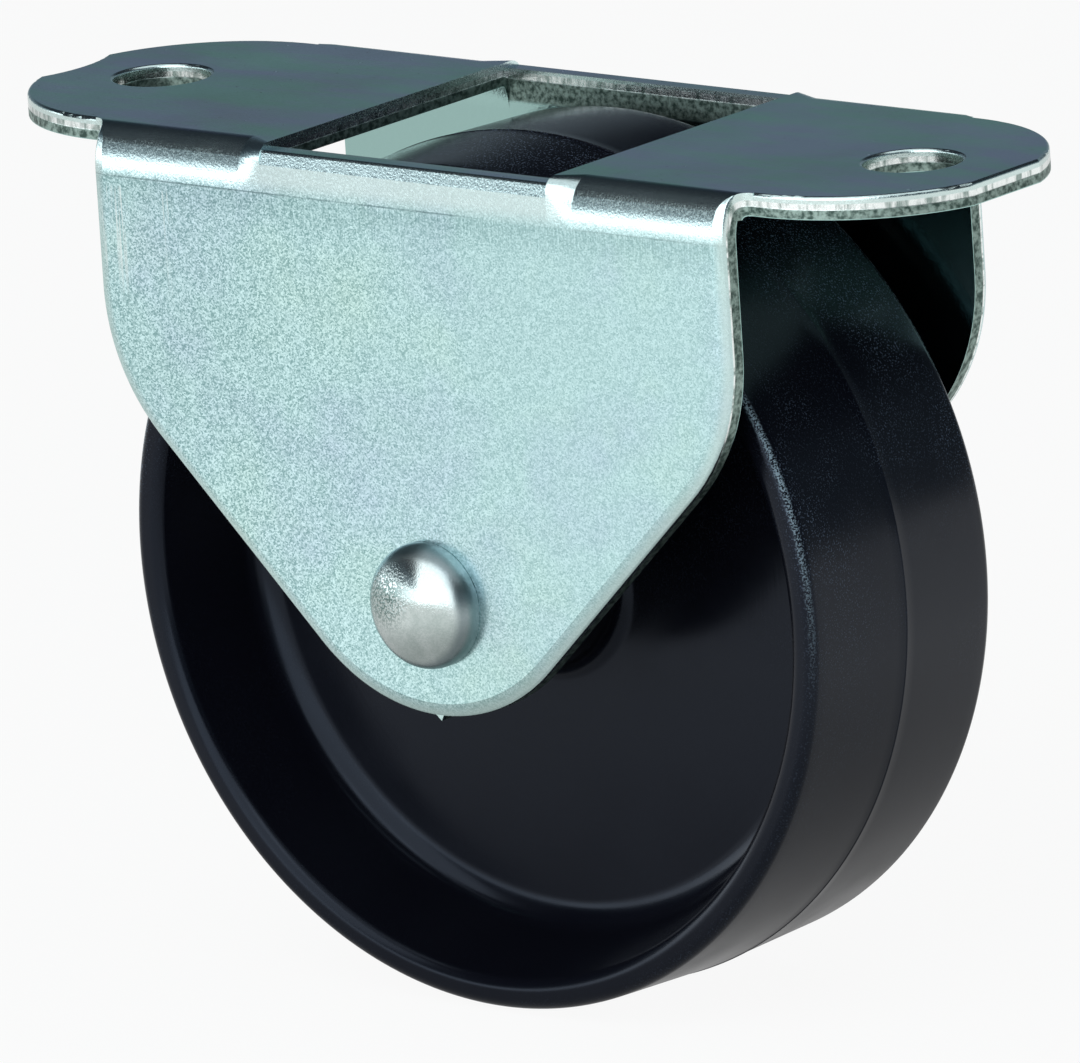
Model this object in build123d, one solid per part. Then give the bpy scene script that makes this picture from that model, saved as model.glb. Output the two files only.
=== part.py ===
from build123d import *
import os
from math import atan2, cos, radians, sin, sqrt, tan

# Fixed castor for building into furniture: a fork folded from one steel sheet, a moulded
# wheel, and a riveted axle with the sleeve that the wheel turns on.
# Millimetres. X runs along the fixing plate, Y along the axle, Z up. The origin lies on the
# plate's top face, midway between the two fixing holes, and the wheel hangs below it.

# Fork sheet and its folds
sheet = 2.0  # thickness of the steel
fork_width = 36.0  # over the outer faces of the two cheeks
fold_inside = 0.35  # inner radius of the folds between plate and cheeks, where they are tight
fold_turn = 65.0  # how far the tight part turns, in degrees
easing_radius = 6.6  # outer radius over the rest of the turn, down to the cheek
rolled_edge = 0.3  # rounding that blanking leaves on the outer corners of the blank
roll_width = 1.2  # how far the cheeks' faces are drawn down along their blanked edges
roll_depth = 0.35  # and how deep they lie at the edge itself
roll_fade = 0.2  # how far that roll is lifted clear of the skin where a fold meets an ear

# Fixing ears of the plate
hole_spacing = 82.0
hole_diameter = 8.5
hole_margin = 9.9  # from a hole's centre to the sheared tip of its ear
hole_setback = 6.7  # from a hole's centre back to the upright edge of the cheeks
ear_straight = 0.55  # straight run of an ear's side before its round end
tip_land = 9.2  # straight length left at the tip by the parting shear
tip_scallop = 12.0  # radius that the parting punch leaves in the other tip
notch_radius = 1.5  # rounding where an ear's side runs into a cheek's edge

# Window over the wheel
window_length = 31.2
lip_drop = 0.5  # from the plate's top down to the cut edge of a cheek in the window
pinch_length = 2.6  # length over which the fold tightens towards the window
pinch_radius = 1.4  # outer radius that it has where it reaches the window

# Cheek outline
cheek_taper = 45.0  # slope of the lower sides, in degrees
shoulder_radius = 18.0
nose_radius = 17.5
nose_margin = 9.9  # from the axle's centre down to the nose
nub_width = 1.3  # small shear mark left at the very bottom of the nose
nub_height = 0.4
nub_lean = 0.25  # how far its point lies to one side

# Wheel
wheel_diameter = 75.0
crown_depth = 1.2  # from the plate's top down to the top of the wheel
tread_width = 25.0
tread_draft = 0.5  # how much the radius falls from the parting line to the tread's edge
tread_edge = 1.0  # rounding of the tread's outer corner
rim_lip = 2.5  # width of the rim's side face
lip_rounding = 1.3
dish_draft = 15.5  # slope of the dish's wall, in degrees
web_thickness = 4.6
dish_fillet = 2.8
hub_diameter = 17.0
hub_draft = 1.5  # slope of the hub's outside, in degrees
hub_fillet = 1.6
bore_chamfer = 0.5

# Axle
shank_diameter = 6.0
head_diameter = 11.0
head_height = 3.5
head_bow = 9.0  # radius of the dome over the middle of the made head
head_shoulder = 2.2  # radius with which the dome turns down into the head's edge
set_head_diameter = 10.2
set_head_height = 2.6
set_head_rim = 0.8
set_head_flat = 3.0  # flat left in the middle of the closed head by the riveting die
set_head_bow = 0.3  # how far the closed head's side bulges out of a straight cone
sleeve_wall = 1.0
shank_clearance = 0.05  # radial, shank to cheeks and sleeve
running_clearance = 0.08  # radial, sleeve to hub
side_clearance = 0.4  # hub end to cheek

# Worked out from the sizes above
half_width = fork_width / 2
inner_width = fork_width - 2 * sheet
tight = fold_inside + sheet
turn = radians(fold_turn)
fold_run = tight * sin(turn) + easing_radius * (1 - sin(turn))
fold_drop = tight * (1 - cos(turn)) + easing_radius * cos(turn)
ear_half = half_width - fold_run  # the ears are as wide as the flat of the plate
half_cheek = hole_spacing / 2 - hole_setback
ear_reach = hole_spacing / 2 + hole_margin
ear_root = half_cheek + notch_radius + ear_straight  # where an ear's side starts to curve
half_window = window_length / 2
wheel_radius = wheel_diameter / 2
axle_drop = wheel_radius + crown_depth
nose_bottom = axle_drop + nose_margin
shank_hole = shank_diameter + 2 * shank_clearance
sleeve_outside = shank_hole + 2 * sleeve_wall
bore_diameter = sleeve_outside + 2 * running_clearance
hub_half = inner_width / 2 - side_clearance


def nearest(shape, x, y):
    """The corner of a sketch that lies nearest to a point."""
    return min(shape.vertices(), key=lambda v: (v.X - x) ** 2 + (v.Y - y) ** 2)


def round_corners(shape, corners):
    """Round the listed corners of a sketch, given as (x, y, radius)."""
    for x, y, radius in corners:
        shape = fillet(nearest(shape, x, y), radius)
    return shape


def ear(end):
    """One ear of the plate, with its fixing hole and the rolled edge round its top."""
    half_land = tip_land / 2
    root = ear_root - ear_straight
    edges = [
        Line((end * root, -ear_half), (end * root, ear_half)),
        Line((end * ear_reach, -half_land), (end * ear_reach, half_land)),
    ]
    for side in (-1, 1):
        start, tip = (end * ear_root, side * ear_half), (end * ear_reach, side * half_land)
        edges.append(Line((end * root, side * ear_half), start))
        edges.append(TangentArc(start, tip, tangent=(end, 0)))
    outline = make_face(edges)
    if end < 0:
        scallop_centre = ear_reach + sqrt(tip_scallop**2 - half_land**2)
        outline -= Pos(-scallop_centre, 0) * Circle(tip_scallop)
    outline -= Pos(end * hole_spacing / 2, 0) * Circle(hole_diameter / 2)
    plate = extrude(outline, sheet, dir=(0, 0, -1))
    rim = plate.faces().sort_by(Axis.Z)[-1].edges()
    return fillet([edge for edge in rim if abs(edge.position_at(0.5).X) > root + 0.01], rolled_edge)


def cheek():
    """The cheek at +Y with its upright edge in the window and its tapered nose."""
    slope = tan(radians(cheek_taper))
    point = -nose_bottom + nose_radius - nose_radius * sqrt(1 + slope**2)
    corner = point + half_cheek * slope
    right = [(half_cheek, -fold_drop), (half_cheek, corner)]
    left = [(-x, z) for x, z in reversed(right)]
    outline = make_face(Polyline(*right, (0, point), *left, close=True))
    roundings = [(s * half_cheek, corner, shoulder_radius) for s in (-1, 1)]
    outline = round_corners(outline, roundings + [(0, point, nose_radius)])
    lip = fold_drop - lip_drop
    outline += Pos(0, lip / 2 - fold_drop) * Rectangle(window_length, lip)
    outline -= Pos(0, -axle_drop) * Circle(shank_hole / 2)
    plate = Pos(0, half_width, 0) * extrude(Plane.XZ * outline, sheet)
    face = plate.faces().sort_by(Axis.Y)[-1]
    rolled = []
    for edge in face.edges():
        middle = edge.position_at(0.5)
        under_fold = abs(middle.Z + fold_drop) < 0.01
        beside_window = abs(middle.Z + fold_drop / 2) < fold_drop / 2 and abs(middle.X) > 0.01
        round_axle = abs(middle.X) < shank_hole and abs(middle.Z + axle_drop) < shank_hole
        if not (under_fold or beside_window or round_axle):
            rolled.append(edge)
    plate = chamfer(rolled, length=roll_width, length2=roll_depth, reference=face)
    drawn = half_width - roll_depth
    plate = fillet(plate.edges().filter_by_position(Axis.Y, drawn - 0.001, drawn + 0.001), rolled_edge)
    base = -nose_bottom + nub_height
    nub = [(-nub_width / 2, base), (nub_width / 2, base), (nub_lean, -nose_bottom - nub_height)]
    mark = Plane.XZ * make_face(Polyline(*nub, close=True))
    return plate + Pos(0, drawn, 0) * extrude(mark, sheet - roll_depth)


def fold_skin(depth):
    """The curve of a fold at a depth inside the sheet, from the plate's side to the cheek's."""
    bend = tight - depth
    joint = (ear_half + bend * sin(turn), bend * cos(turn) - tight)
    foot = (half_width - depth, -fold_drop)
    return [
        TangentArc((ear_half, -depth), joint, tangent=(1, 0)),
        TangentArc(joint, foot, tangent=(cos(turn), -sin(turn))),
    ]


def fold_section(root, skin):
    """The folded sheet in section, under a given outer skin that starts in the plate at root."""
    foot = -fold_drop
    edges = [*skin, Line((half_width, foot), (half_width - sheet, foot)), *fold_skin(sheet)]
    if root < ear_half:
        edges.append(Line((ear_half, -sheet), (root, -sheet)))
    return make_face([*edges, Line((root, -sheet), (root, 0))])


def fold_bar(start, end):
    """The folded sheet that joins the plate to the cheek at +Y, between two stations."""
    section = fold_section(ear_half, fold_skin(0))
    return extrude(Plane.YZ.offset(start) * section, end - start)


def end_roll():
    """Block lying askew, whose skin carries the cheek's roll on round the end of the fold."""
    askew = atan2(roll_depth, roll_width)
    bottom = -fold_drop - sheet
    core = Polyline((half_width, -fold_drop), (half_width, bottom), (0, bottom), (0, 0), (ear_half, 0))
    section = Pos(2 * roll_depth, roll_fade) * make_face([*fold_skin(0), core])
    section = Plane.YZ.offset(half_cheek - 3 * roll_width) * section
    length = (3 * roll_width + 2 * notch_radius) / cos(askew)
    return extrude(section, length, dir=(cos(askew), -sin(askew), 0))


def fold_end():
    """The end of the fold beside an ear, with the rounded inner corner of the blank."""
    square = Pos(notch_radius / 2, notch_radius / 2) * Rectangle(notch_radius, notch_radius)
    corner = square - Pos(notch_radius, notch_radius) * Circle(notch_radius)
    corner = Pos(half_cheek, ear_half) * corner
    prism = extrude(corner, tight, dir=(0, 0, -1))
    straight = Box(2 * roll_width, fold_run, fold_drop)
    prism += Pos(half_cheek - roll_width, ear_half + fold_run / 2, -fold_drop / 2) * straight
    end = fold_bar(half_cheek - 2 * roll_width, half_cheek + notch_radius) & prism & end_roll()
    ridge = []
    for edge in end.edges().filter_by_position(Axis.X, half_cheek - 0.001, half_cheek + 0.001):
        middle = edge.position_at(0.5)
        if middle.Y > ear_half + notch_radius + 0.05 and middle.Z > -fold_drop + 0.05:
            ridge.append(edge)
    return fillet(ridge, rolled_edge)


def pinch():
    """The fold beside the window, where it tightens to meet the upright lip of the cheek."""
    root = ear_half - sheet / 2
    knee = half_width - pinch_radius
    top = Line((root, 0), (knee, 0))
    bend = TangentArc((knee, 0), (half_width, -pinch_radius), tangent=(1, 0))
    side = Line((half_width, -pinch_radius), (half_width, -fold_drop))
    tightened = fold_section(root, [top, bend, side])
    settled = fold_section(root, [Line((root, 0), (ear_half, 0)), *fold_skin(0)])
    start = Plane.YZ.offset(half_window) * tightened
    end = Plane.YZ.offset(half_window + pinch_length) * settled
    return loft([start, end])


def fold():
    """The fold at +X, +Y from the window to the cheek's edge, with both its ends."""
    return pinch() + fold_bar(half_window + pinch_length, half_cheek - 2 * roll_width) + fold_end()


def fork_housing():
    """One blanked and folded sheet: plate with ears, window, and two cheeks."""
    flat_length = 2 * (ear_root - ear_straight)
    body = Pos(0, 0, -sheet / 2) * Box(flat_length, 2 * ear_half, sheet)
    body -= Box(window_length, fork_width, 4 * sheet)
    body += [ear(-1), ear(1), cheek(), mirror(cheek(), Plane.XZ)]
    folds = fold() + mirror(fold(), Plane.XZ)
    return body + folds + mirror(folds, Plane.YZ)


def wheel():
    """Moulded wheel: a rim drafted both ways from its parting line, a dished web and a long hub."""
    half_tread = tread_width / 2
    half_web = web_thickness / 2
    edge_radius = wheel_radius - tread_draft
    lip_radius = edge_radius - rim_lip
    wall_foot = lip_radius - (half_tread - half_web) * tan(radians(dish_draft))
    hub_tip = hub_diameter / 2
    hub_foot = hub_tip + (hub_half - half_web) * tan(radians(hub_draft))
    bore = bore_diameter / 2
    upper = [
        (bore, hub_half),
        (hub_tip, hub_half),
        (hub_foot, half_web),
        (wall_foot, half_web),
        (lip_radius, half_tread),
        (edge_radius, half_tread),
    ]
    lower = [(r, -y) for r, y in reversed(upper)]
    profile = make_face(Polyline(*upper, (wheel_radius, 0), *lower, close=True))
    roundings = [hub_fillet, dish_fillet, lip_rounding, tread_edge]
    for (r, y), radius in zip(upper[2:], roundings):
        profile = round_corners(profile, [(r, y, radius), (r, -y, radius)])
    for y in (hub_half, -hub_half):
        profile = chamfer(nearest(profile, bore, y), bore_chamfer)
    return Pos(0, 0, -axle_drop) * revolve(profile, Axis.Y)


def axle_rivet():
    """Round-headed rivet: its made head at the front, its closed head at the back."""
    shank = shank_diameter / 2
    head = head_diameter / 2
    set_head = set_head_diameter / 2
    flat = set_head_flat / 2
    head_edge = head_height - head_bow + sqrt(head_bow**2 - head**2)
    set_dome = set_head_height - set_head_rim
    front = -half_width
    back = half_width
    middle = ((set_head + flat) / 2 + set_head_bow, back + set_head_rim + set_dome / 2 + set_head_bow)
    outline = Polyline(
        (0, front - head_height), (0, back + set_head_height), (flat, back + set_head_height)
    )
    outline += ThreePointArc(
        (flat, back + set_head_height), middle, (set_head, back + set_head_rim)
    )
    outline += Polyline(
        (set_head, back + set_head_rim),
        (set_head, back),
        (shank, back),
        (shank, front),
        (head, front),
        (head, front - head_edge),
    )
    outline += RadiusArc((head, front - head_edge), (0, front - head_height), head_bow)
    profile = round_corners(make_face(outline), [(head, front - head_edge, head_shoulder)])
    return Pos(0, 0, -axle_drop) * revolve(profile, Axis.Y)


def axle_sleeve():
    """Tube between the cheeks: it keeps them apart and carries the turning hub."""
    ring = Circle(sleeve_outside / 2) - Circle(shank_hole / 2)
    tube = extrude(Plane.XZ * ring, inner_width / 2, both=True)
    return Pos(0, 0, -axle_drop) * tube


pieces = {
    "fork_housing": fork_housing(),
    "wheel": wheel(),
    "axle_sleeve": axle_sleeve(),
    "axle_rivet": axle_rivet(),
}

os.makedirs("parts", exist_ok=True)
for name, piece in pieces.items():
    export_step(piece, f"parts/{name}.step")
    size = piece.bounding_box().size
    print(name, round(size.X, 2), round(size.Y, 2), round(size.Z, 2), "volume", round(piece.volume))
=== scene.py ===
# %% [markdown]
# # A fixed castor
#
# The part is a small wheel for furniture that rolls straight: one folded steel fork, a moulded
# plastic wheel, a tube that the wheel turns on, and a rivet that holds it all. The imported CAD
# model gives every piece its place and size. This lesson gives the pieces their surfaces, builds
# the wheel again as one fine smooth mesh, and sets up the floor, the light and the camera.

from math import cos, pi, radians, sin, tan

import bpy
import numpy as np
from mathutils import Matrix, Vector


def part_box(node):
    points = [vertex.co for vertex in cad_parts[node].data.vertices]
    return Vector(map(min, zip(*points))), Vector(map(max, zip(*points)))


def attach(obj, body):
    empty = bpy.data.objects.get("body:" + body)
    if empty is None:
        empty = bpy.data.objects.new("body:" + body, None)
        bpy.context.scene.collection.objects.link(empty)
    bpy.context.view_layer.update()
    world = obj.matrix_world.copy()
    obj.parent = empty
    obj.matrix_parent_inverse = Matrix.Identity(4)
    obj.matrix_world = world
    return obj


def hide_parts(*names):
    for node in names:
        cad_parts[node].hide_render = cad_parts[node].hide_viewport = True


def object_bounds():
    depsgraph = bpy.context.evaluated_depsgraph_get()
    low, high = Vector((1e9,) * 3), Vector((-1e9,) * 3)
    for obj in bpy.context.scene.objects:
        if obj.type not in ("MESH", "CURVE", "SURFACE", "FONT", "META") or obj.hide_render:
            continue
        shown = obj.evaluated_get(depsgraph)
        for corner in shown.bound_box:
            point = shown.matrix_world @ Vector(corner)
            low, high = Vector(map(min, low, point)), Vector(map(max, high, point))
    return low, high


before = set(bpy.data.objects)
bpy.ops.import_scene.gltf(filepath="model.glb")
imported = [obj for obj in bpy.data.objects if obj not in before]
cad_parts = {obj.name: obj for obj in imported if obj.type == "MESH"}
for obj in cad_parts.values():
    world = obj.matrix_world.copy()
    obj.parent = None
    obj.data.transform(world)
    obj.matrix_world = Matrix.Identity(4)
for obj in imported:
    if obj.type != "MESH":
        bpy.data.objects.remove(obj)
cad_box = [list(corner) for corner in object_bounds()]
MM = 0.001

print("CAD nodes:", sorted(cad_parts))
print("CAD box in mm:", [[round(v / MM, 2) for v in corner] for corner in cad_box])

# %% [markdown]
# ## The camera
#
# The photograph was taken from slightly above, past the right-hand end of the plate, with a very
# long lens, so parallel edges hardly draw together. The camera is placed by its azimuth, its
# elevation, a small tilt about its own axis and its distance from a point inside the wheel. An
# object's matrix can be written straight from three directions: right, up and back.

# %% The camera
CAMERA_AZIMUTH = radians(39.4)
CAMERA_ELEVATION = radians(13.73)
CAMERA_TILT = radians(-3.71)
CAMERA_DISTANCE = 1.8749
CAMERA_TARGET = Vector((-2.1, 0, -36.68)) * MM
SENSOR_MM = 36.0
LENS_MM = 728.8


def directions(azimuth, elevation):
    """Right, up and back of something that looks at the object from that azimuth and elevation."""
    right = Vector((cos(azimuth), sin(azimuth), 0))
    back = Vector((sin(azimuth) * cos(elevation), -cos(azimuth) * cos(elevation), sin(elevation)))
    return right, back.cross(right), back


def placed(right, up, back, location):
    """Matrix whose columns are three directions and a place, for a thing that looks along -back."""
    columns = [(*right, 0), (*up, 0), (*back, 0), (*location, 1)]
    return Matrix(columns).transposed()


right, up, back = directions(CAMERA_AZIMUTH, CAMERA_ELEVATION)
tilted_right = cos(CAMERA_TILT) * right + sin(CAMERA_TILT) * up
tilted_up = cos(CAMERA_TILT) * up - sin(CAMERA_TILT) * right

camera_data = bpy.data.cameras.new("camera")
camera_data.sensor_width = SENSOR_MM
camera_data.lens = LENS_MM
camera_data.clip_start = 0.05
camera_data.clip_end = 50
camera = bpy.data.objects.new("camera", camera_data)
bpy.context.scene.collection.objects.link(camera)
camera.matrix_world = placed(tilted_right, tilted_up, back, CAMERA_TARGET + CAMERA_DISTANCE * back)
bpy.context.scene.camera = camera
bpy.context.scene.view_settings.view_transform = "Standard"

print("camera at", [round(v, 3) for v in camera.location], "lens", LENS_MM, "mm")

# %% [markdown]
# ## Two helpers for materials
#
# Colours are written as the hex values that a paint program shows. Blender works with linear
# light, so one function turns a hex value into linear numbers. The other function adds a node,
# sets its own properties, and fills its inputs: a value is written in, and the output of another
# node is linked.
#
# Some inputs are told by number. A Map Range takes its value at 0, the range it comes from at 1
# and 2, and the range it goes to at 3 and 4, which are 0 and 1 unless told. A Mix takes its share
# at 0, two numbers at 2 and 3, and two colours at 6 and 7, and gives the colour as its output 2.


# %% Colour and node helpers
def linear(hex_colour):
    """Linear light of an sRGB hex colour: a straight line below 0.04045, and a power above it."""
    srgb = np.array([int(hex_colour[i : i + 2], 16) for i in (1, 3, 5)]) / 255
    values = np.where(srgb <= 0.04045, srgb / 12.92, ((srgb + 0.055) / 1.055) ** 2.4)
    return (*[float(v) for v in values], 1.0)


def add_node(tree, kind, settings=None, inputs=None):
    """Add a node with its settings, and fill its inputs by name or number with values or links."""
    node = tree.nodes.new(kind)
    for name, value in (settings or {}).items():
        setattr(node, name, value)
    for name, value in (inputs or {}).items():
        if isinstance(value, bpy.types.NodeSocket):
            tree.links.new(value, node.inputs[name])
        else:
            node.inputs[name].default_value = value
    return node


def per_metre(size_mm):
    """Scale of a pattern whose cells are that many millimetres wide."""
    return 1 / (size_mm * MM)


SMOOTH = {"interpolation_type": "SMOOTHSTEP"}
TIMES = {"operation": "MULTIPLY"}
MINUS = {"operation": "SUBTRACT"}
TIMES_PLUS = {"operation": "MULTIPLY_ADD"}
HIGHER = {"operation": "MAXIMUM"}
DOT = {"operation": "DOT_PRODUCT"}
LENGTH = {"operation": "LENGTH"}
DISTANCE = {"operation": "DISTANCE"}
SCALED = {"operation": "SCALE"}
NUMBERS = {"data_type": "FLOAT"}
COLOURS = {"data_type": "RGBA"}

print("mid grey #808080 is", round(linear("#808080")[0], 3), "in linear light")

# %% [markdown]
# ## The floor, the sky and the lamps
#
# Steel shows what stands round it, so the surroundings are part of the metal's look. The photo's
# flat plate is dim and the fold below it nearly black, so the studio above is dark. A tall soft
# lamp in front makes the white spot on the rivet, and a low strip of light at the front left the
# white line along the fold. The floor is pale paper that glows up to white for the camera and in
# the metal. In the metal its glow has painted shade: dimmer towards the left, and a painted
# shadow near the wheel.

# %% Floor
FLOOR_Z = cad_box[0][2]
FLOOR_HALF = 30.0
CAMERA_GLOW = 0.93  # share of glow for the camera; the rest is lit paper, which keeps the shadow
LEFTWARD = (-0.902, 0.431, 0)
# Painted shade in the glow that only the metal shows: dimmer to the left, and a painted shadow
# round the wheel's foot.
# Each starts and ends that many metres away, with these two levels of glow.
LEFT_FALL_OFF = (0.02, 0.10, 1.0, 0.80)
WHEEL_SHADE = (0.03, 0.12, 0.50, 1.0)

floor_mesh = bpy.data.meshes.new("floor")
floor_corners = [(x * FLOOR_HALF, y * FLOOR_HALF, FLOOR_Z)
                 for x, y in ((-1, -1), (1, -1), (1, 1), (-1, 1))]
floor_mesh.from_pydata(floor_corners, [], [(0, 1, 2, 3)])
floor = bpy.data.objects.new("floor", floor_mesh)
bpy.context.scene.collection.objects.link(floor)

paper = bpy.data.materials.new("pale_paper_floor")
paper.use_nodes = True
tree = paper.node_tree
tree.nodes.clear()
ray = add_node(tree, "ShaderNodeLightPath")
matt = add_node(tree, "ShaderNodeBsdfDiffuse", inputs={"Color": linear("#d3dbd9")})
spot = add_node(tree, "ShaderNodeTexCoord")
leftward = add_node(tree, "ShaderNodeVectorMath", DOT, {0: spot.outputs["Object"], 1: LEFTWARD})
from_foot = add_node(tree, "ShaderNodeVectorMath", DISTANCE,
                     {0: spot.outputs["Object"], 1: (0, 0, FLOOR_Z)})
levels = []
for reach, (start, end, low, high) in ((leftward, LEFT_FALL_OFF), (from_foot, WHEEL_SHADE)):
    levels.append(add_node(tree, "ShaderNodeMapRange", SMOOTH, {
        0: reach.outputs["Value"], 1: start, 2: end, 3: low, 4: high}).outputs[0])
# Both painted shades together. The camera ray still sees the glow at full strength.
painted_floor_shade = add_node(tree, "ShaderNodeMath", TIMES, {0: levels[0], 1: levels[1]})
level = add_node(tree, "ShaderNodeMath", HIGHER,
                 {0: painted_floor_shade.outputs[0], 1: ray.outputs["Is Camera Ray"]})
glow = add_node(tree, "ShaderNodeEmission", inputs={
    "Color": linear("#ffffff"), "Strength": level.outputs[0]})
mirrored = add_node(tree, "ShaderNodeMath", HIGHER,
                    {0: ray.outputs["Is Glossy Ray"], 1: ray.outputs["Is Transmission Ray"]})
camera_share = add_node(tree, "ShaderNodeMath", TIMES,
                        {0: ray.outputs["Is Camera Ray"], 1: CAMERA_GLOW})
share = add_node(tree, "ShaderNodeMath", HIGHER,
                 {0: mirrored.outputs[0], 1: camera_share.outputs[0]})
above = add_node(tree, "ShaderNodeMixShader", inputs={
    0: share.outputs[0], 1: matt.outputs[0], 2: glow.outputs[0]})
side = add_node(tree, "ShaderNodeNewGeometry")
clear = add_node(tree, "ShaderNodeBsdfTransparent")
both = add_node(tree, "ShaderNodeMixShader",
                inputs={0: side.outputs["Backfacing"], 1: above.outputs[0], 2: clear.outputs[0]})
add_node(tree, "ShaderNodeOutputMaterial", inputs={"Surface": both.outputs[0]})
floor_mesh.materials.append(paper)

print("floor at", round(FLOOR_Z / MM, 2), "mm")

# %% Sky
# The ramp runs with the sine of the height above the horizon: grey up to 15 degrees, and nearly
# black from 25.
RAMP_START = -0.2
SKY_STOPS = [
    (-0.02, "#8f999e"),
    (0.02, "#76828b"),
    (0.26, "#74838c"),
    (0.38, "#2c353d"),
    (0.55, "#1b2128"),
    (1.0, "#20272f"),
]
world = bpy.data.worlds.new("studio")
bpy.context.scene.world = world
world.use_nodes = True
tree = world.node_tree
tree.nodes.clear()
direction = add_node(tree, "ShaderNodeTexCoord")
parts = add_node(tree, "ShaderNodeSeparateXYZ", inputs={0: direction.outputs["Generated"]})
sine_share = add_node(tree, "ShaderNodeMapRange", inputs={
    0: parts.outputs["Z"], 1: RAMP_START, 2: 1.0})
ramp = add_node(tree, "ShaderNodeValToRGB", inputs={0: sine_share.outputs[0]})
while len(ramp.color_ramp.elements) < len(SKY_STOPS):
    ramp.color_ramp.elements.new(1.0)
for stop, (sine, colour) in zip(ramp.color_ramp.elements, SKY_STOPS):
    stop.position = (sine - RAMP_START) / (1 - RAMP_START)
    stop.color = linear(colour)
sky = add_node(tree, "ShaderNodeBackground", inputs={"Color": ramp.outputs[0], "Strength": 1.0})
add_node(tree, "ShaderNodeOutputWorld", inputs={"Surface": sky.outputs[0]})

print("sky stops:", len(SKY_STOPS))


# %% Lamps
LAMP_AIM = Vector((0, 0, -0.04))


def soft_lamp(name, azimuth, elevation, distance, width, height, brightness, colour):
    """A rectangular lamp that faces the part, hidden from the camera itself.

    Brightness is what a mirror shows of it, with paper white as 1. A flat lamp of that radiance
    sends out pi times its area times its brightness, in watts.
    """
    lamp_data = bpy.data.lights.new(name, "AREA")
    lamp_data.shape = "RECTANGLE"
    lamp_data.size = width
    lamp_data.size_y = height
    lamp_data.energy = pi * width * height * brightness
    lamp_data.color = linear(colour)[:3]
    lamp = bpy.data.objects.new(name, lamp_data)
    bpy.context.scene.collection.objects.link(lamp)
    axes = directions(radians(azimuth), radians(elevation))
    lamp.matrix_world = placed(*axes, LAMP_AIM + distance * axes[2])
    lamp.visible_camera = False
    print(name, "lamp:", round(lamp_data.energy, 2), "W")


soft_lamp("front", azimuth=8, elevation=28, distance=0.80,
          width=0.96, height=0.92, brightness=2.00, colour="#f8fcff")
soft_lamp("low_left", azimuth=-50, elevation=5, distance=1.00,
          width=1.20, height=0.22, brightness=2.20, colour="#f6fbff")
soft_lamp("overhead", azimuth=60, elevation=75, distance=1.70,
          width=2.20, height=2.20, brightness=0.90, colour="#f8fcff")

# %% [markdown]
# ## Zinc-plated sheet
#
# The fork is cold-rolled steel, blanked and folded, then zinc plated and passivated blue. That
# gives the eye four things: a satin metal with a mint cast that drifts to straw and violet, a
# fine sparkling grain, coarser grain where the sheet is stretched over the folds, and cut edges
# with a bright burnished half and a rough torn half. The depth below the outer skin tells the
# shader which of these it is looking at. It is the same formula on plate, fold and cheek.

# %% Zinc plate: where on the sheet
# The depth is a fold's outer radius less the distance from the fold's centre. A distance that
# would be negative counts as none, so the same sum holds on the flat plate and the flat cheek.
TIGHT = 2.35  # outer radius of the tight part of the folds, in mm
TURN = radians(65)
EASING = 6.6  # outer radius of the rest
FOLD_DROP = TIGHT * (1 - cos(TURN)) + EASING * cos(TURN)
HALF_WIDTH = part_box("fork_housing")[1].y / MM
EAR_HALF = HALF_WIDTH - TIGHT * sin(TURN) - EASING * (1 - sin(TURN))

zinc = bpy.data.materials.new("zinc_plated_steel")
zinc.use_nodes = True
tree = zinc.node_tree
tree.nodes.clear()
place = add_node(tree, "ShaderNodeTexCoord")
in_mm = add_node(tree, "ShaderNodeVectorMath", SCALED,
                 {"Vector": place.outputs["Object"], "Scale": 1 / MM})
axis = add_node(tree, "ShaderNodeSeparateXYZ", inputs={0: in_mm.outputs[0]})
facing = add_node(tree, "ShaderNodeSeparateXYZ", inputs={0: place.outputs["Normal"]})
side_y = add_node(tree, "ShaderNodeMath", {"operation": "ABSOLUTE"}, {0: axis.outputs["Y"]})
across = add_node(tree, "ShaderNodeCombineXYZ", inputs={
    "X": side_y.outputs[0], "Y": axis.outputs["Z"]}).outputs[0]
tight_centre = (EAR_HALF, -TIGHT, 0)
easing_centre = (HALF_WIDTH - EASING, -FOLD_DROP, 0)
depths = []
for radius, centre in ((TIGHT, tight_centre), (EASING, easing_centre)):
    offset = add_node(tree, "ShaderNodeVectorMath", MINUS, {0: across, 1: centre})
    outward = add_node(tree, "ShaderNodeVectorMath", HIGHER, {0: offset.outputs[0], 1: (0, 0, 0)})
    length = add_node(tree, "ShaderNodeVectorMath", LENGTH, {0: outward.outputs[0]})
    below = add_node(tree, "ShaderNodeMath", MINUS, {0: radius, 1: length.outputs["Value"]})
    depths.append(below.outputs[0])
# The tight part gives way to the easing one past a line from its centre at the tight turn.
from_centre = add_node(tree, "ShaderNodeVectorMath", MINUS, {0: across, 1: tight_centre})
past_line = add_node(tree, "ShaderNodeVectorMath", DOT,
                     {0: from_centre.outputs[0], 1: (cos(TURN), -sin(TURN), 0)})
on_easing = add_node(tree, "ShaderNodeMath", {"operation": "GREATER_THAN"},
                     {0: past_line.outputs["Value"], 1: 0.0})
depth = add_node(tree, "ShaderNodeMix", NUMBERS,
                 {0: on_easing.outputs[0], 2: depths[0], 3: depths[1]})

print("ears reach", round(EAR_HALF, 2), "mm; the folds end", round(FOLD_DROP, 2), "mm down")

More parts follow.
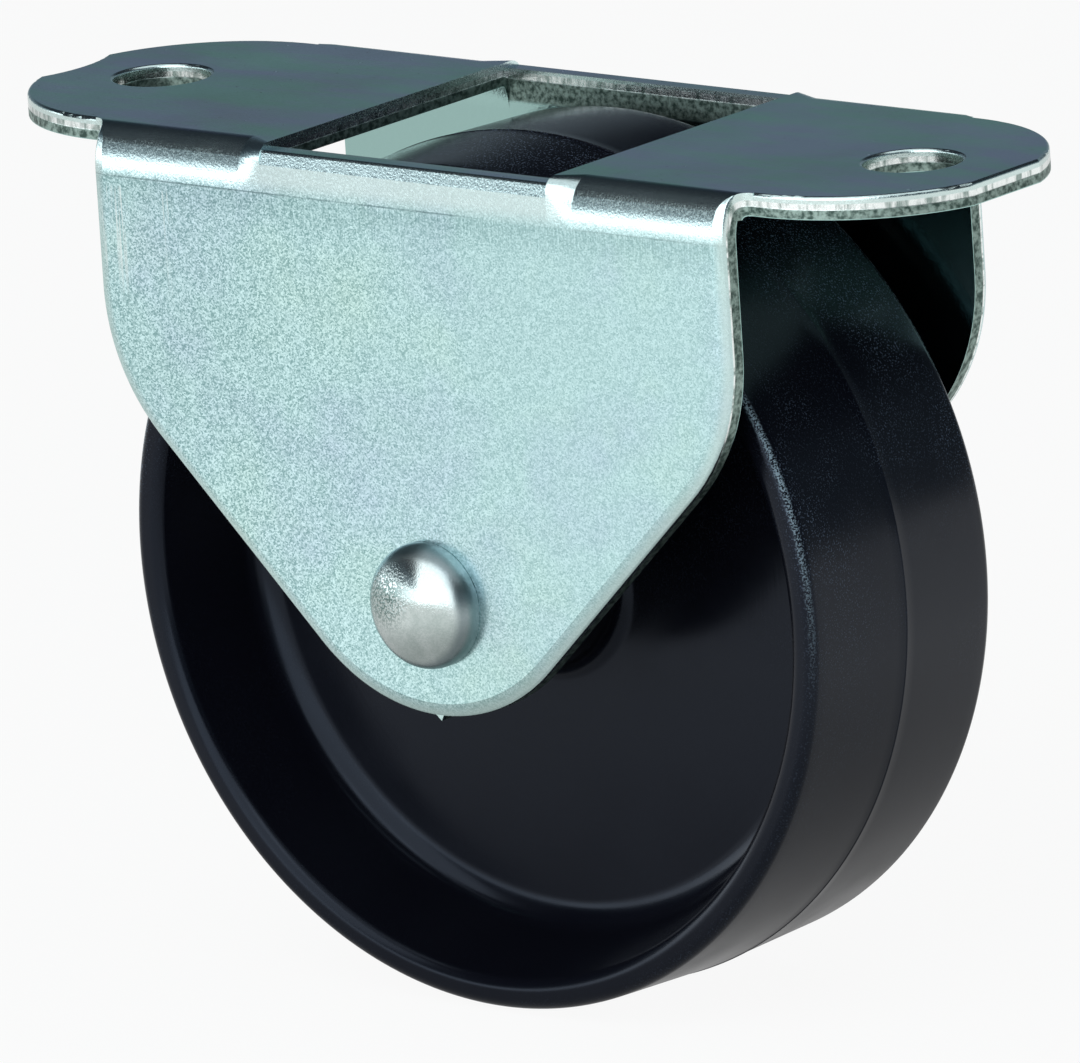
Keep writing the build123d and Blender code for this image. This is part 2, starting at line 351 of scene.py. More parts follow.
# %% Zinc plate: masks
# Each mask is a smooth step of the depth, the height, the place along the plate or the direction
# that the surface faces, from one value to another.
deep, up_facing = depth.outputs[0], facing.outputs["Z"]
height, along = axis.outputs["Z"], axis.outputs["X"]
mask = {}
for name, value, start, end, low, high in [
    ("flat_top", up_facing, 0.93, 0.995, 0, 1),
    ("off_top", up_facing, 0.93, 0.995, 1, 0),
    ("rolled", deep, 0.0, 0.28, 0, 1),
    ("cut", deep, 0.58, 0.70, 0, 1),
    ("inner_skin", deep, 1.90, 1.97, 0, 1),
    ("torn_on_plate", deep, 1.10, 1.22, 0, 1),
    ("torn_on_cheek", deep, 0.78, 0.90, 0, 1),
    ("plate", height, -3.4, -2.4, 0, 1),
    ("fold_foot", height, -4.6, -2.8, 0, 1),
    ("tilted", up_facing, 0.40, 0.75, 0.5, 0),
    ("below_line", height, -4.4, -4.0, 1, 0),
    ("streak_ends", height, -7.6, -4.6, 0, 1),
    ("line_foot", height, -4.30, -4.20, 0, 1),
    ("line_top", height, -4.16, -4.06, 1, 0),
    ("stroke_ends", height, -16.0, -10.0, 0, 1),
    ("below_fold", height, -5.4, -4.8, 1, 0),
    ("first_stroke", along, -34.2, -33.4, 0, 1),
    ("past_first", along, -31.4, -30.4, 1, 0),
    ("second_stroke", along, -26.9, -26.4, 0, 1),
    ("past_second", along, -26.0, -25.6, 1, 0),
    ("grain_range", along, -28.0, 22.0, 1.45, 0.65),
]:
    mask[name] = add_node(tree, "ShaderNodeMapRange", SMOOTH, {
        0: value, 1: start, 2: end, 3: low, 4: high}).outputs[0]
for name, first, second in [
    ("on_fold", "fold_foot", "off_top"),
    ("stretched", "fold_foot", "tilted"),
    ("under_fold", "below_line", "streak_ends"),
    ("die_line", "line_foot", "line_top"),
    ("left_strokes", "first_stroke", "past_first"),
    ("right_strokes", "second_stroke", "past_second"),
    ("stroke_height", "stroke_ends", "below_fold"),
]:
    mask[name] = add_node(tree, "ShaderNodeMath", TIMES, {
        0: mask[first], 1: mask[second]}).outputs[0]
mask["strokes"] = add_node(tree, "ShaderNodeMath", HIGHER, {
    0: mask["left_strokes"], 1: mask["right_strokes"]}).outputs[0]
mask["torn"] = add_node(tree, "ShaderNodeMix", NUMBERS, {
    0: mask["plate"], 2: mask["torn_on_cheek"], 3: mask["torn_on_plate"]}).outputs[0]
print("zinc masks:", len(mask))

# %% Zinc plate: patterns
# Each is a noise with features of a width in millimetres, drawn out along one axis where its
# stretch is below 1. The crystals are cells of even brightness: 0.13 mm is as fine as shows.
FINE_CRYSTAL, COARSE_CRYSTAL, COARSE_SHARE = 0.13, 0.24, 0.15

pattern = {}
for name, width, stretch, seed, detail in [
    ("straw", 16, (1, 1, 1), 0, 3),
    ("violet", 13, (1, 1, 1), 4, 3),
    ("drawn", 6, (0.3, 1, 1), 0, 4),
    ("streaks", 0.20, (1, 1, 0.04), 0, 2),
    ("stroke_lines", 0.36, (1, 1, 0.02), 2, 2),
    ("tear", 0.5, (1, 1, 1), 0, 4),
    ("plate_cut", 0.8, (1, 1, 0.25), 0, 3),
    ("cheek_cut", 0.8, (1, 0.25, 1), 0, 3),
    ("relief", 0.20, (1, 1, 1), 0, 1.5),
    ("nicks", 0.7, (1, 1, 1), 7, 0),
]:
    drawn_out = add_node(tree, "ShaderNodeMapping", inputs={
        "Vector": place.outputs["Object"], "Scale": stretch})
    pattern[name] = add_node(tree, "ShaderNodeTexNoise", {"noise_dimensions": "4D"}, {
        "Vector": drawn_out.outputs[0], "W": seed, "Scale": per_metre(width), "Detail": detail,
        "Roughness": 0.6}).outputs[0]
cells = [add_node(tree, "ShaderNodeTexVoronoi", inputs={
    "Vector": place.outputs["Object"], "Scale": per_metre(width)}).outputs["Color"]
    for width in (FINE_CRYSTAL, COARSE_CRYSTAL)]
mixed_cells = add_node(tree, "ShaderNodeMix", COLOURS, {0: COARSE_SHARE, 6: cells[0], 7: cells[1]})
crystals = add_node(tree, "ShaderNodeSeparateColor", inputs={0: mixed_cells.outputs[2]}).outputs[0]
print("zinc patterns:", sorted(pattern))

# %% Zinc plate: colour of the skin
# The grain is stronger towards the left end, and faint on the flat top and the rolled edge.
grain_range = mask["grain_range"]
for name, least in [("flat_top", 0.12), ("rolled", 0.50)]:
    less = add_node(tree, "ShaderNodeMapRange", inputs={0: mask[name], 3: 1, 4: least})
    grain_range = add_node(tree, "ShaderNodeMath", TIMES, {
        0: grain_range, 1: less.outputs[0]}).outputs[0]
off_middle = add_node(tree, "ShaderNodeMath", MINUS, {0: crystals, 1: 0.5})
grain = add_node(tree, "ShaderNodeMath", {**TIMES_PLUS, "use_clamp": True},
                 {0: off_middle.outputs[0], 1: grain_range, 2: 0.5})
skin = add_node(tree, "ShaderNodeMix", COLOURS,
                {0: grain.outputs[0], 6: linear("#8cb3b3"), 7: linear("#dcfdfe")}).outputs[2]
# Passivation colours: mint with clouds of straw and violet, and teal and lilac on the flat top.
# The folding die left a dark line at the foot of each fold, and upright streaks below it.
for cloud, start, end, where, colour in [
    ("straw", 0.50, 0.78, None, "#fffef4"),
    ("violet", 0.48, 0.76, None, "#fbf2ff"),
    ("drawn", 0.40, 0.60, "flat_top", "#dffde8"),
    ("drawn", 0.60, 0.40, "flat_top", "#fbe6ff"),
    ("streaks", 0.62, 0.38, "under_fold", "#dde3e3"),
    ("violet", 0.40, 0.55, "die_line", "#a8b4b6"),
]:
    share = add_node(tree, "ShaderNodeMapRange", inputs={
        0: pattern[cloud], 1: start, 2: end}).outputs[0]
    if where:
        share = add_node(tree, "ShaderNodeMath", TIMES, {0: share, 1: mask[where]}).outputs[0]
    skin = add_node(tree, "ShaderNodeMix", {**COLOURS, "blend_type": "MULTIPLY"},
                    {0: share, 6: skin, 7: linear(colour)}).outputs[2]
# Rolled steel is whiter. The fold is whiter too, partly as stretched steel and partly as a painted
# highlight standing for the white line that the low lamp draws along it. A few pale strokes on the
# left end come from handling.
strokes = add_node(tree, "ShaderNodeMapRange", SMOOTH, {
    0: pattern["stroke_lines"], 1: 0.48, 2: 0.60, 4: 0.8}).outputs[0]
for name in ("strokes", "stroke_height"):
    strokes = add_node(tree, "ShaderNodeMath", TIMES, {0: strokes, 1: mask[name]}).outputs[0]
# Painted highlight, in part: the whole fold is whitened, as well as being stretched steel.
fold_white_and_highlight = add_node(tree, "ShaderNodeMath", TIMES, {0: mask["on_fold"], 1: 0.80}).outputs[0]
roll_white = add_node(tree, "ShaderNodeMath", TIMES, {0: mask["rolled"], 1: 0.45}).outputs[0]
for share, colour in ((fold_white_and_highlight, "#d6e8e7"), (roll_white, "#c9d8d2"), (strokes, "#e8f5f3")):
    skin = add_node(tree, "ShaderNodeMix", COLOURS, {
        0: share, 6: skin, 7: linear(colour)}).outputs[2]

# %% Zinc plate: colour of the cut edges
# Burnished white near the outer skin, greenish grey where the sheet tore. The punch left fine
# lines across the sheet's thickness, which is upright on the plate and level on a cheek.
lines = add_node(tree, "ShaderNodeMix", NUMBERS, {
    0: mask["plate"], 2: pattern["cheek_cut"], 3: pattern["plate_cut"]}).outputs[0]
cut_colour = {}
for name, value, start, end, dark, pale in [
    ("burnished", lines, 0.34, 0.56, "#8fa09b", "#eff5f3"),
    ("torn", pattern["tear"], 0.35, 0.65, "#40534d", "#98ada5"),
]:
    share = add_node(tree, "ShaderNodeMapRange", SMOOTH, {0: value, 1: start, 2: end}).outputs[0]
    cut_colour[name] = add_node(tree, "ShaderNodeMix", COLOURS, {
        0: share, 6: linear(dark), 7: linear(pale)}).outputs[2]
cut_edge = add_node(tree, "ShaderNodeMix", COLOURS, {
    0: mask["torn"], 6: cut_colour["burnished"], 7: cut_colour["torn"]}).outputs[2]
with_cut = add_node(tree, "ShaderNodeMix", COLOURS, {
    0: mask["cut"], 6: skin, 7: cut_edge}).outputs[2]
zinc_colour = add_node(tree, "ShaderNodeMix", COLOURS, {
    0: mask["inner_skin"], 6: with_cut, 7: linear("#a0c2bd")}).outputs[2]

# %% Zinc plate: relief and finish
# Over the folds the stretched crystals stand up and some are dull, so they sparkle on dark steel.
# The flat top has a few small nicks, and the torn half of a cut edge is rough.
calm = add_node(tree, "ShaderNodeMapRange", inputs={0: mask["rolled"], 3: 0.30, 4: 0.05})
nicks = add_node(tree, "ShaderNodeMapRange", SMOOTH, {
    0: pattern["nicks"], 1: 0.77, 2: 0.83, 4: 4.0}).outputs[0]
relief = add_node(tree, "ShaderNodeMath", TIMES, {
    0: pattern["relief"], 1: calm.outputs[0]}).outputs[0]
for value, where in [
    (pattern["relief"], "stretched"),
    (pattern["tear"], "torn"),
    (nicks, "flat_top"),
]:
    relief = add_node(tree, "ShaderNodeMath", TIMES_PLUS, {
        0: value, 1: mask[where], 2: relief}).outputs[0]
bumped = add_node(tree, "ShaderNodeBump", inputs={
    "Strength": 0.5, "Distance": 0.05 * MM, "Height": relief})
rough = add_node(tree, "ShaderNodeMapRange", inputs={
    0: pattern["straw"], 1: 0.3, 2: 0.7, 3: 0.20, 4: 0.26}).outputs[0]
dull = add_node(tree, "ShaderNodeMapRange", SMOOTH, {0: crystals, 1: 0.62, 2: 0.80}).outputs[0]
dull = add_node(tree, "ShaderNodeMath", TIMES, {0: dull, 1: mask["stretched"]}).outputs[0]
for share, value in ((dull, 0.36), (mask["torn"], 0.50), (mask["inner_skin"], 0.14)):
    rough = add_node(tree, "ShaderNodeMix", NUMBERS, {0: share, 2: rough, 3: value}).outputs[0]
surface = add_node(tree, "ShaderNodeBsdfPrincipled", inputs={
    "Base Color": zinc_colour, "Metallic": 1.0, "Roughness": rough, "Normal": bumped.outputs[0]})
add_node(tree, "ShaderNodeOutputMaterial", inputs={"Surface": surface.outputs[0]})

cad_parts["fork_housing"].data.materials.clear()
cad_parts["fork_housing"].data.materials.append(zinc)
print("zinc plate nodes:", len(tree.nodes))

# %% [markdown]
# ## Bright rivet steel and drawn tube
#
# The rivet is bright steel, upset by a domed tool. The tool polishes the middle of the head, which
# shows the soft lamp as a white spot, and leaves the shoulder duller. The shoulder's colour is also
# painted darker all round, as a painted reflection of the dark studio. The sleeve is a piece of
# drawn tube: its fine lines run along its length.

# %% Rivet
AXLE_Z = -38.7  # mm, below the plate's top
PITTED_PATCH = (-2.4 * MM, -20.8 * MM, -37.6 * MM)  # left of the head's middle

bright = bpy.data.materials.new("bright_zinc_rivet")
bright.use_nodes = True
tree = bright.node_tree
tree.nodes.clear()
place = add_node(tree, "ShaderNodeTexCoord")
outward = add_node(tree, "ShaderNodeSeparateXYZ", inputs={0: place.outputs["Normal"]})
# How squarely the surface faces along the axle: 1 in the head's middle, less on its shoulder.
squarely = add_node(tree, "ShaderNodeMath", {"operation": "ABSOLUTE"}, {0: outward.outputs["Y"]})
dents, pits = [add_node(tree, "ShaderNodeTexNoise", inputs={
    "Vector": place.outputs["Object"], "Scale": per_metre(width), "Detail": 2.0})
    for width in (2.2, 0.20)]
off_patch = add_node(tree, "ShaderNodeVectorMath", DISTANCE,
                     {0: place.outputs["Object"], 1: PITTED_PATCH})
patch = add_node(tree, "ShaderNodeMapRange", SMOOTH, {
    0: off_patch.outputs["Value"], 1: 1.0 * MM, 2: 3.6 * MM, 3: 1.0, 4: 0.12})
pit_spots = add_node(tree, "ShaderNodeMapRange", SMOOTH, {0: pits.outputs[0], 1: 0.42, 2: 0.58})
pitted = add_node(tree, "ShaderNodeMath", TIMES, {0: pit_spots.outputs[0], 1: patch.outputs[0]})
blotches = add_node(tree, "ShaderNodeMapRange", SMOOTH, {
    0: dents.outputs[0], 1: 0.40, 2: 0.64, 4: 0.5})
steel_colour = add_node(tree, "ShaderNodeMix", COLOURS, {
    0: blotches.outputs[0], 6: linear("#c9d4d2"), 7: linear("#a6b5b1")}).outputs[2]
# Painted reflection: the shoulder's colour is darkened all round, for the dark studio it mirrors.
painted_shoulder_shade = add_node(tree, "ShaderNodeMapRange", SMOOTH, {
    0: squarely.outputs[0], 1: 0.60, 2: 0.92, 3: 0.70, 4: 0.0})
for share, colour in ((painted_shoulder_shade, "#6f7f86"), (pitted, "#6d8480")):
    steel_colour = add_node(tree, "ShaderNodeMix", COLOURS, {
        0: share.outputs[0], 6: steel_colour, 7: linear(colour)}).outputs[2]
bumped = add_node(tree, "ShaderNodeBump", inputs={
    "Strength": 0.4, "Distance": 0.05 * MM, "Height": pitted.outputs[0]})
rough = add_node(tree, "ShaderNodeMapRange", SMOOTH, {
    0: squarely.outputs[0], 1: 0.78, 2: 0.96, 3: 0.32, 4: 0.15})
surface = add_node(tree, "ShaderNodeBsdfPrincipled", inputs={
    "Base Color": steel_colour, "Metallic": 1.0, "Roughness": rough.outputs[0],
    "Normal": bumped.outputs[0]})
add_node(tree, "ShaderNodeOutputMaterial", inputs={"Surface": surface.outputs[0]})
print("rivet nodes:", len(tree.nodes))

# %% Sleeve
drawn = bpy.data.materials.new("drawn_steel_tube")
drawn.use_nodes = True
tree = drawn.node_tree
tree.nodes.clear()
place = add_node(tree, "ShaderNodeTexCoord")
stretched_place = add_node(tree, "ShaderNodeMapping", inputs={
    "Vector": place.outputs["Object"], "Scale": (1.0, 0.02, 1.0)})
lines = add_node(tree, "ShaderNodeTexNoise", inputs={
    "Vector": stretched_place.outputs[0], "Scale": per_metre(0.2), "Detail": 3.0})
tube_colour = add_node(tree, "ShaderNodeMix", COLOURS, {
    0: lines.outputs[0], 6: linear("#8d9395"), 7: linear("#d0d4d5")})
bumped = add_node(tree, "ShaderNodeBump", inputs={
    "Strength": 0.3, "Distance": 0.02 * MM, "Height": lines.outputs[0]})
surface = add_node(tree, "ShaderNodeBsdfPrincipled", inputs={
    "Base Color": tube_colour.outputs[2], "Metallic": 1.0, "Roughness": 0.32,
    "Normal": bumped.outputs[0]})
add_node(tree, "ShaderNodeOutputMaterial", inputs={"Surface": surface.outputs[0]})
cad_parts["axle_sleeve"].data.materials.clear()
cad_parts["axle_sleeve"].data.materials.append(drawn)
print("sleeve nodes:", len(tree.nodes))

# %% [markdown]
# ## The wheel's shape
#
# The wheel is one plastic moulding: a rim that tapers both ways from the line where the mould
# halves meet, a dished web and a long hub. It is round, so its surface is a profile turned about
# the axle. The profile is a closed outline of straight runs with an arc at each corner, and the
# turned surface closes on itself both ways, so it has no seam and no pole.

# %% A rounded outline
CHORD = 0.15  # mm between points on an arc
LONGEST_RUN = 1.2  # mm between points elsewhere


def rounded_outline(corners):
    """Closed outline through corners (r, y, radius), each rounded by an arc tangent to both sides.

    Between unit vectors a and b from a corner to its neighbours, the arc's centre lies on their
    bisector at radius / sin(half angle), and it touches each side at radius / tan(half angle).
    A point at a share s of the sweep is (start sin((1 - s) sweep) + end sin(s sweep)) / sin(sweep).
    """
    spots = np.array([corner[:2] for corner in corners], float)
    pieces = []
    for i, (_, _, radius) in enumerate(corners):
        a = spots[i - 1] - spots[i]
        b = spots[(i + 1) % len(spots)] - spots[i]
        a, b = a / np.hypot(*a), b / np.hypot(*b)
        half = np.arccos(np.clip(a @ b, -1, 1)) / 2
        bisector = (a + b) / np.hypot(*(a + b))
        centre = spots[i] + bisector * radius / np.sin(half)
        start = spots[i] + a * radius / np.tan(half) - centre
        end = spots[i] + b * radius / np.tan(half) - centre
        sweep = pi - 2 * half
        share = np.linspace(0, 1, max(3, int(np.ceil(radius * sweep / CHORD)) + 1))[:, None]
        from_start, to_end = np.sin((1 - share) * sweep) * start, np.sin(share * sweep) * end
        pieces.append(centre + (from_start + to_end) / np.sin(sweep))
    return np.concatenate(pieces)


def evenly_filled(outline, step):
    """The outline with its long straight runs divided, so that no run is longer than the step."""
    ends = np.roll(outline, -1, axis=0)
    counts = np.maximum(1, np.ceil(np.hypot(*(ends - outline).T) / step)).astype(int)
    owner = np.repeat(np.arange(len(outline)), counts)
    number = np.arange(len(owner)) - np.repeat(np.cumsum(counts) - counts, counts)
    share = (number / counts[owner])[:, None]
    return outline[owner] * (1 - share) + ends[owner] * share


# %% The wheel's profile
# In millimetres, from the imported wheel.
WHEEL_RADIUS = 37.5
HALF_TREAD = 12.5
TREAD_DRAFT = 0.5
RIM_LIP = 2.5
DISH_DRAFT = radians(15.5)
HALF_WEB = 2.3
HUB_RADIUS = 8.5
HUB_HALF = 15.6
HUB_DRAFT = radians(1.5)
BORE_RADIUS = 4.13
FLASH_HALF = 0.10
FLASH_HEIGHT = 0.06

edge_radius = WHEEL_RADIUS - TREAD_DRAFT
lip_radius = edge_radius - RIM_LIP
wall_foot = lip_radius - (HALF_TREAD - HALF_WEB) * tan(DISH_DRAFT)
hub_foot = HUB_RADIUS + (HUB_HALF - HALF_WEB) * tan(HUB_DRAFT)
tread_top = WHEEL_RADIUS - FLASH_HEIGHT
one_side = [
    (WHEEL_RADIUS, FLASH_HALF * 0.4, 0.02),
    (tread_top, FLASH_HALF, 0.03),
    (edge_radius, HALF_TREAD, 1.0),
    (lip_radius, HALF_TREAD, 1.3),
    (wall_foot, HALF_WEB, 2.8),
    (hub_foot, HALF_WEB, 1.6),
    (HUB_RADIUS, HUB_HALF, 0.4),
    (BORE_RADIUS, HUB_HALF, 0.4),
]
other_side = [(r, -y, radius) for r, y, radius in reversed(one_side)]
profile = evenly_filled(rounded_outline(one_side + other_side), LONGEST_RUN)

print("wheel profile:", len(profile), "points")

# %% [markdown]
# ## Turning the profile
#
# Each profile point (r, y) goes round the axle: at angle t it stands at x = r sin t,
# z = axle height + r cos t. All points come from one multiplication of two arrays.

# %% The wheel's mesh
TURN_STEPS = 288


def turned(profile_mm, steps, axle_mm):
    """Grid of points: (r, y) at angle t stands at x = r sin t, y, z = axle height + r cos t."""
    angle = np.linspace(0, 2 * pi, steps, endpoint=False)[:, None]
    r, y = profile_mm[:, 0][None, :], profile_mm[:, 1][None, :]
    return np.stack([r * np.sin(angle), y + 0 * angle, axle_mm + r * np.cos(angle)], axis=-1)


def ring(profile_mm, steps, axle_mm):
    """Points and quads of a closed profile turned about the axle, with no end either way."""
    index = np.arange(steps * len(profile_mm)).reshape(steps, len(profile_mm))
    across, onward = np.roll(index, -1, axis=1), np.roll(index, -1, axis=0)
    quads = np.stack([index, across, np.roll(across, -1, axis=0), onward], axis=-1)
    return turned(profile_mm, steps, axle_mm).reshape(-1, 3) * MM, quads.reshape(-1, 4)


def enclosed_volume(points, quads):
    """Volume in cubic millimetres by the divergence rule: a sixth of the sum of triple products."""
    a, b, c, d = (points[quads[:, k]] / MM for k in range(4))
    return float((np.cross(a, b) * c).sum() + (np.cross(a, c) * d).sum()) / 6


def smooth_piece(name, points, faces):
    """A smooth mesh object at the origin from an array of points and a list of faces."""
    mesh = bpy.data.meshes.new(name)
    mesh.from_pydata(points.tolist(), [], faces)
    mesh.shade_smooth()
    piece = bpy.data.objects.new(name, mesh)
    bpy.context.scene.collection.objects.link(piece)
    return piece


wheel_points, wheel_quads = ring(profile, TURN_STEPS, AXLE_Z)
if enclosed_volume(wheel_points, wheel_quads) < 0:
    wheel_quads = wheel_quads[:, ::-1]
moulded_wheel = smooth_piece("moulded_wheel", wheel_points, wheel_quads.tolist())
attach(moulded_wheel, "wheel")
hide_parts("wheel")

wheel_volume = enclosed_volume(wheel_points, wheel_quads)
print("wheel quads:", len(wheel_quads), "volume in mm3:", round(wheel_volume))

# %% [markdown]
# ## The rivet's shape
#
# The rivet is turned about the same axle, but it is solid: its profile starts and ends on the
# axle, so each end closes to a point with a fan of triangles. The head is a shallow dome that
# turns down over a shoulder, and the closed head at the back is a squat cone that bulges a little.
# A flat dome shows every flaw in its shading, so the rings are fine and even.

# %% The rivet's profile
# In millimetres. The head in front is HEAD, and SET is the closed head at the back.
SHANK_RADIUS = 3.0
HEAD_RADIUS, HEAD_HEIGHT, HEAD_BOW, HEAD_SHOULDER = 5.5, 3.5, 9.0, 2.2
SET_RADIUS, SET_HEIGHT, SET_RIM, SET_FLAT, SET_BULGE = 5.1, 2.6, 0.8, 1.5, 0.3
CORNER_CUT, CORNER_HOLD = 0.04, 0.10


def arc(centre, radius, start, end, count):
    """Points (r, y) round a centre: r = centre r + radius sin t, y = centre y - radius cos t."""
    t = np.linspace(start, end, count)
    return np.stack([centre[0] + radius * np.sin(t), centre[1] - radius * np.cos(t)], axis=1)


def bulged(start, end, bulge, count):
    """A straight run with a parabola added along its outward normal: 4 bulge s (1 - s)."""
    start, end = np.array(start), np.array(end)
    share = np.linspace(0, 1, count)[:, None]
    normal = np.array([end[1] - start[1], start[0] - end[0]]) / np.hypot(*(end - start))
    return start + share * (end - start) - 4 * bulge * share * (1 - share) * normal


def softened(before, corner, after):
    """A corner cut off a little, with a second point on each side that keeps the flats flat."""
    before, corner, after = (np.array(spot, float) for spot in (before, corner, after))
    back = (before - corner) / np.hypot(*(before - corner))
    on = (after - corner) / np.hypot(*(after - corner))
    return np.array([corner + CORNER_HOLD * back, corner + CORNER_CUT * back,
                     corner + CORNER_CUT * on, corner + CORNER_HOLD * on])


dome_centre = (0.0, HEAD_BOW - HALF_WIDTH - HEAD_HEIGHT)
shoulder_r = HEAD_RADIUS - HEAD_SHOULDER
turn_over = np.arcsin(shoulder_r / (HEAD_BOW - HEAD_SHOULDER))
shoulder_centre = (shoulder_r, dome_centre[1] - (HEAD_BOW - HEAD_SHOULDER) * cos(turn_over))
set_foot, set_top = (SET_RADIUS, HALF_WIDTH + SET_RIM), (SET_FLAT, HALF_WIDTH + SET_HEIGHT)
# Four of these corners are softened. The first and the last only say where the outline goes.
corners = [(HEAD_RADIUS, -HALF_WIDTH - 1), (HEAD_RADIUS, -HALF_WIDTH), (SHANK_RADIUS, -HALF_WIDTH),
           (SHANK_RADIUS, HALF_WIDTH), (SET_RADIUS, HALF_WIDTH), set_foot]
rivet_profile = np.concatenate([
    arc(dome_centre, HEAD_BOW, 0, turn_over, count=28),
    arc(shoulder_centre, HEAD_SHOULDER, turn_over, pi / 2, count=20)[1:],
    *[softened(*corners[k : k + 3]) for k in range(4)],
    bulged(set_foot, set_top, SET_BULGE, count=16),
    np.array([[SET_FLAT * 0.5, set_top[1]], [0.0, set_top[1]]]),
])

print("rivet profile:", len(rivet_profile), "points")

# %% The rivet's mesh
RIVET_STEPS = 144


def closed_turning(profile_mm, steps, axle_mm):
    """Points and faces of a profile from axle to axle: rings of quads and a fan at each end."""
    rings = profile_mm[1:-1]
    grid = turned(rings, steps, axle_mm).reshape(-1, 3)
    tips = np.array([(0, profile_mm[0, 1], axle_mm), (0, profile_mm[-1, 1], axle_mm)])
    index = np.arange(len(grid)).reshape(steps, len(rings))
    onward = np.roll(index, -1, axis=0)
    quads = np.stack([index[:, :-1], onward[:, :-1], onward[:, 1:], index[:, 1:]], axis=-1)
    first, last = np.full(steps, len(grid)), np.full(steps, len(grid) + 1)
    fans = np.concatenate([np.stack([first, onward[:, 0], index[:, 0]], axis=-1),
                           np.stack([last, index[:, -1], onward[:, -1]], axis=-1)])
    return np.concatenate([grid, tips]) * MM, quads.reshape(-1, 4).tolist() + fans.tolist()


rivet_points, rivet_faces = closed_turning(rivet_profile, RIVET_STEPS, AXLE_Z)
domed_rivet = smooth_piece("domed_rivet", rivet_points, rivet_faces)
domed_rivet.data.materials.append(bright)
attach(domed_rivet, "fork")
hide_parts("axle_rivet")
dome_normal = domed_rivet.data.polygons[-2 * RIVET_STEPS].normal
print("rivet faces:", len(rivet_faces), "the dome looks along", [round(v, 3) for v in dome_normal])

# %% [markdown]
# ## Black moulded plastic
#
# The wheel is a hard black polyamide or polypropylene straight from a polished mould: nearly
# black, with a satin shine, faint rings from the mould's turning, and pale dust and rub marks
# where it has been handled. The rub marks on the shoulders are pale on the upper part only,
# partly as wear and partly as a painted highlight. The rings follow the distance from the axle,
# so a mapping node moves the axle to the origin first.

# %% Plastic
plastic = bpy.data.materials.new("black_moulded_plastic")
plastic.use_nodes = True
tree = plastic.node_tree
tree.nodes.clear()
place = add_node(tree, "ShaderNodeTexCoord")
centred = add_node(tree, "ShaderNodeMapping", inputs={
    "Vector": place.outputs["Object"], "Location": (0, 0, -AXLE_Z * MM)})
flat_place = add_node(tree, "ShaderNodeVectorMath", TIMES, {0: centred.outputs[0], 1: (1, 0, 1)})
axle_distance = add_node(tree, "ShaderNodeVectorMath", LENGTH, {0: flat_place.outputs[0]})
rings = add_node(tree, "ShaderNodeTexNoise", {"noise_dimensions": "1D"}, {
    "W": axle_distance.outputs["Value"], "Scale": per_metre(0.35), "Detail": 2.0})
in_mm = add_node(tree, "ShaderNodeVectorMath", SCALED,
                 {"Vector": place.outputs["Object"], "Scale": 1 / MM})
axis = add_node(tree, "ShaderNodeSeparateXYZ", inputs={0: in_mm.outputs[0]})
side_y = add_node(tree, "ShaderNodeMath", {"operation": "ABSOLUTE"}, {0: axis.outputs["Y"]})
from_axle = add_node(tree, "ShaderNodeMath", TIMES, {0: axle_distance.outputs["Value"], 1: 1 / MM})
dust = add_node(tree, "ShaderNodeTexNoise", inputs={
    "Vector": place.outputs["Object"], "Scale": per_metre(0.16), "Detail": 1.0, "Roughness": 0.6})
dust_area = add_node(tree, "ShaderNodeTexNoise", inputs={
    "Vector": place.outputs["Object"], "Scale": per_metre(14), "Detail": 2.0})
shares = {}
for name, start, end in (("dust", 0.58, 0.69), ("scuffs_and_highlight", 0.45, 0.57)):
    shares[name] = add_node(tree, "ShaderNodeMapRange", SMOOTH, {
        0: dust.outputs[0], 1: start, 2: end}).outputs[0]
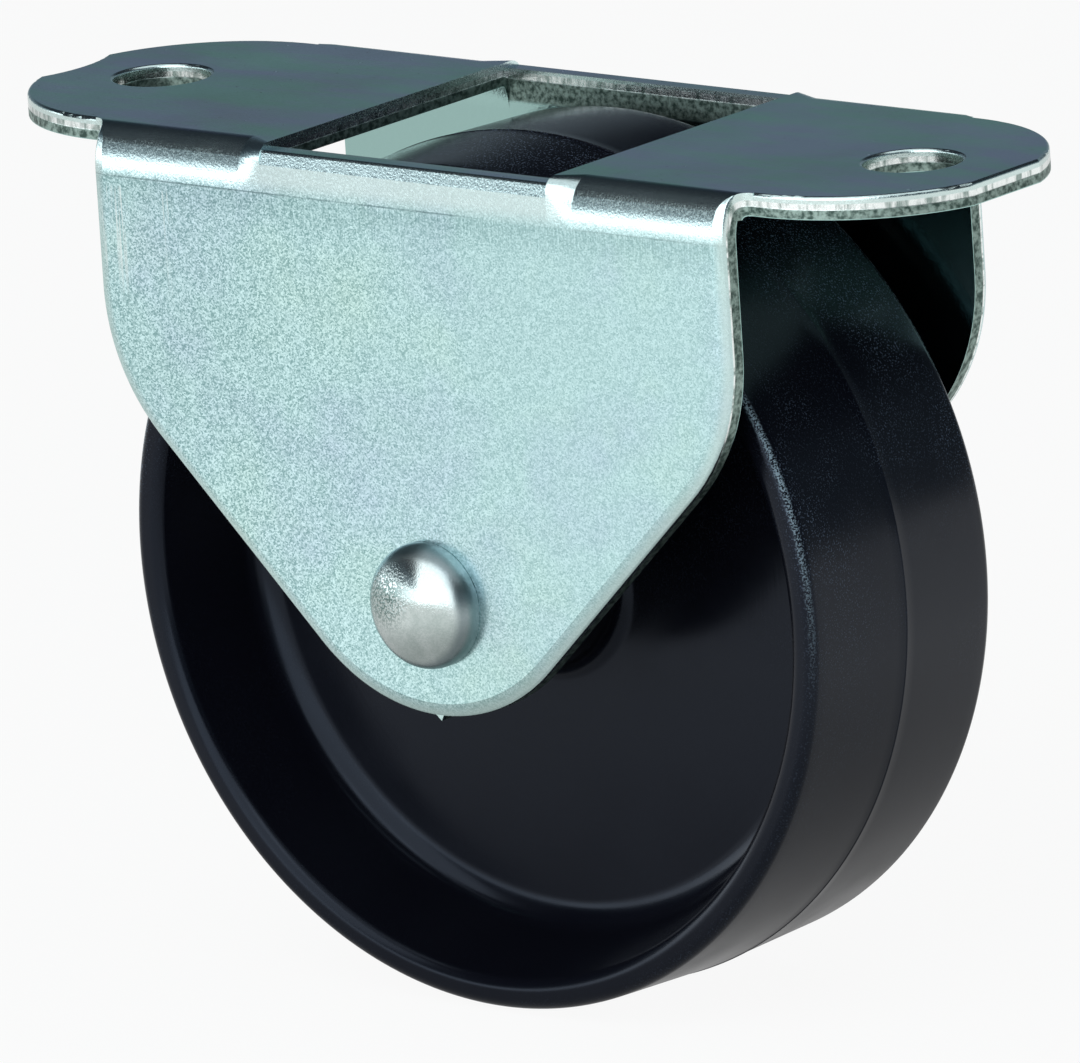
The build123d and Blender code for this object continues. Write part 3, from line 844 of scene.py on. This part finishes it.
# Dust lies in patches on the tread, most of it above. The scuffs on the tread's shoulders are
# pale on the upper part only: rub marks, and a painted highlight along the shoulder.
for name, value, start, end, low in [
    ("dust", dust_area.outputs[0], 0.40, 0.62, 0.1),
    ("dust", from_axle.outputs[0], 35.5, 36.8, 0.12),
    ("dust", axis.outputs["Z"], -48.0, -24.0, 0.15),
    ("scuffs_and_highlight", side_y.outputs[0], 11.8, 12.15, 0),
    ("scuffs_and_highlight", from_axle.outputs[0], 36.4, 36.7, 0),
    ("scuffs_and_highlight", axis.outputs["Z"], -46.0, -22.0, 0),
]:
    share = add_node(tree, "ShaderNodeMapRange", SMOOTH, {0: value, 1: start, 2: end, 3: low})
    shares[name] = add_node(tree, "ShaderNodeMath", TIMES, {
        0: shares[name], 1: share.outputs[0]}).outputs[0]
# The scuffs' pale colour is partly a painted highlight along the upper shoulders.
plastic_colour = linear("#0b0c13")
for name, colour in (("dust", "#566273"), ("scuffs_and_highlight", "#8496a1")):
    plastic_colour = add_node(tree, "ShaderNodeMix", COLOURS, {
        0: shares[name], 6: plastic_colour, 7: linear(colour)}).outputs[2]
swirl = add_node(tree, "ShaderNodeTexNoise", inputs={
    "Vector": place.outputs["Object"], "Scale": per_metre(7), "Detail": 3.0})
rough = add_node(tree, "ShaderNodeMapRange", inputs={
    0: swirl.outputs[0], 1: 0.3, 2: 0.7, 3: 0.17, 4: 0.26})
rough = add_node(tree, "ShaderNodeMix", NUMBERS, {
    0: shares["scuffs_and_highlight"], 2: rough.outputs[0], 3: 0.50})
relief = add_node(tree, "ShaderNodeMath", TIMES_PLUS, {
    0: rings.outputs[0], 1: 0.5, 2: swirl.outputs[0]})
bumped = add_node(tree, "ShaderNodeBump", inputs={
    "Strength": 0.25, "Distance": 0.02 * MM, "Height": relief.outputs[0]})
surface = add_node(tree, "ShaderNodeBsdfPrincipled", inputs={
    "Base Color": plastic_colour, "Roughness": rough.outputs[0], "Normal": bumped.outputs[0],
    "IOR": 1.42, "Specular IOR Level": 0.34, "Specular Tint": (0.60, 0.72, 0.92, 1.0)})
add_node(tree, "ShaderNodeOutputMaterial", inputs={"Surface": surface.outputs[0]})
moulded_wheel.data.materials.append(plastic)
print("plastic nodes:", len(tree.nodes))
